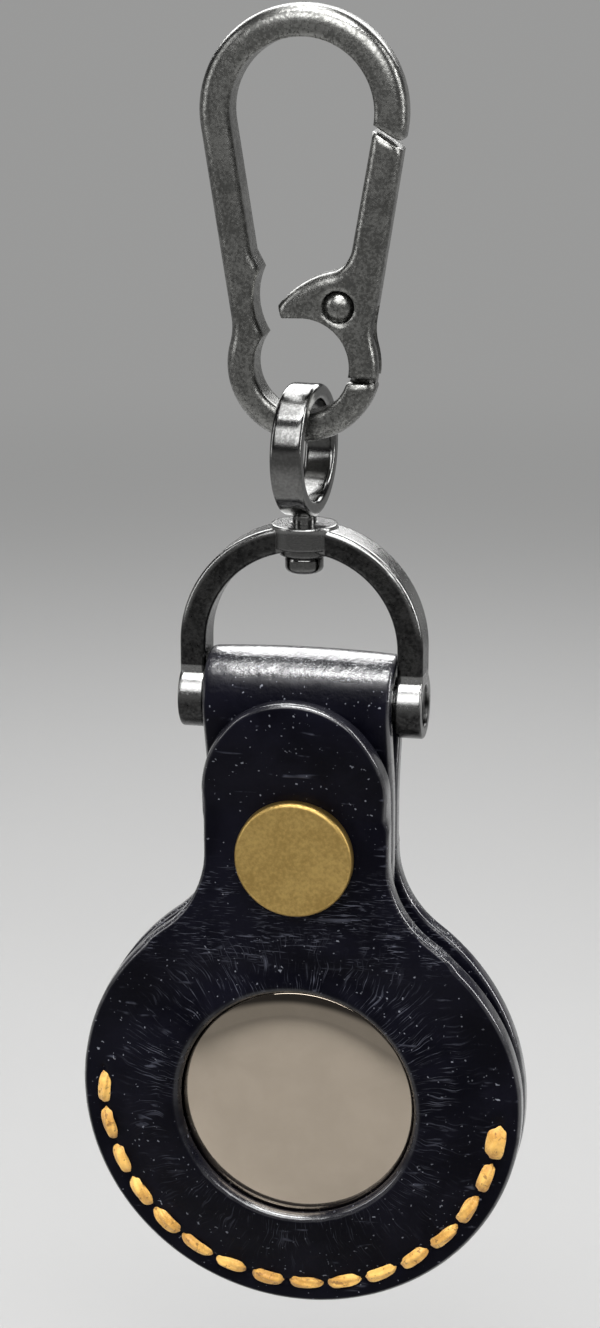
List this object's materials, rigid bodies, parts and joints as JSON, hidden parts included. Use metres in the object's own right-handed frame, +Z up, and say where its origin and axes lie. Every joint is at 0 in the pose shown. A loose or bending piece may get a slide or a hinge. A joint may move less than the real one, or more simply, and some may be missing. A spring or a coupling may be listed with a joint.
{
  "type": "tracker tag holder",
  "caption": "Leather pocket that snaps round a coin-sized tracker behind a window, hung by a screw shackle, swivel ring and spring-gate carabiner.",
  "frame": {"origin": "inside of the carabiner's crown, where the holder hangs on whatever it is hooked to", "axes": "+Z up along the hanging line, +X to the gate's side, -Y towards the window and the snap cap"},
  "size_m": [0.048, 0.0153, 0.1395],
  "materials": {
    "gunmetal": "satin gunmetal plating with rubbed edges",
    "ring_plating": "polished gunmetal plating",
    "spring_steel": "drawn wire",
    "black_leather": "waxed, burnished edges",
    "antique_brass": "matte antique",
    "gold_thread": "waxed thread",
    "polished_steel": "mirror polished",
    "white_plastic": "gloss",
    "grey_plastic": "matte",
    "cell_steel": "plain",
    "board_green": "solder mask",
    "magnet": "plated",
    "contact_brass": "plated"
  },
  "bodies": {
    "carabiner": {"carabiner_frame": "gunmetal", "gate_rivet": "gunmetal"},
    "gate": {"carabiner_gate": "gunmetal", "gate_spring": "spring_steel"},
    "swivel": {"swivel_ring": "ring_plating", "swivel_washer": "gunmetal"},
    "shackle": {"shackle_bow": "gunmetal", "screw_pin": "gunmetal"},
    "pocket": {"back_leather": "black_leather", "front_panel": "black_leather", "snap_stud": "antique_brass", "snap_post": "antique_brass", "front_stitches": "gold_thread", "back_stitches": "gold_thread", "tag_shell": "white_plastic", "coin_cell": "cell_steel", "tag_tray": "grey_plastic", "battery_contacts": "contact_brass", "circuit_board": "board_green", "speaker_magnet": "magnet", "voice_coil": "contact_brass"},
    "flap": {"front_flap": "black_leather", "snap_cap": "antique_brass", "snap_socket": "antique_brass", "snap_spring_ring": "spring_steel"},
    "tag_cover": {"steel_cover": "polished_steel"}
  },
  "joints": [
    {"name": "gate_pivot", "type": "hinge", "parent": "carabiner", "child": "gate", "pos_m": [0.0038, 0, -0.0265], "axis": [0, -1, 0], "range_deg": [0, 26], "stiffness_Nm_per_rad": 0.03, "springref_deg": -22.92, "deforming": ["gate_spring"]},
    {"name": "ring_swing", "type": "hinge", "parent": "carabiner", "child": "swivel", "pos_m": [0, 0, -0.039], "axis": [1, 0, 0], "range_deg": [-75, 75]},
    {"name": "swivel_turn", "type": "hinge", "parent": "swivel", "child": "shackle", "pos_m": [0, 0, -0.0505], "axis": [0, 0, 1], "continuous": true},
    {"name": "strap_swing", "type": "hinge", "parent": "shackle", "child": "pocket", "pos_m": [0, 0, -0.06795], "axis": [1, 0, 0], "range_deg": [-90, 90]},
    {"name": "flap_open", "type": "hinge", "parent": "pocket", "child": "flap", "pos_m": [0, -0.00365, -0.09235], "axis": [1, 0, 0], "range_deg": [0, 70], "stiffness_Nm_per_rad": 0.003, "springref_deg": -11.46},
    {"name": "cover_twist", "type": "hinge", "parent": "pocket", "child": "tag_cover", "pos_m": [0, -0.003, -0.11225], "axis": [0, -1, 0], "range_deg": [0, 30]}
  ]
}
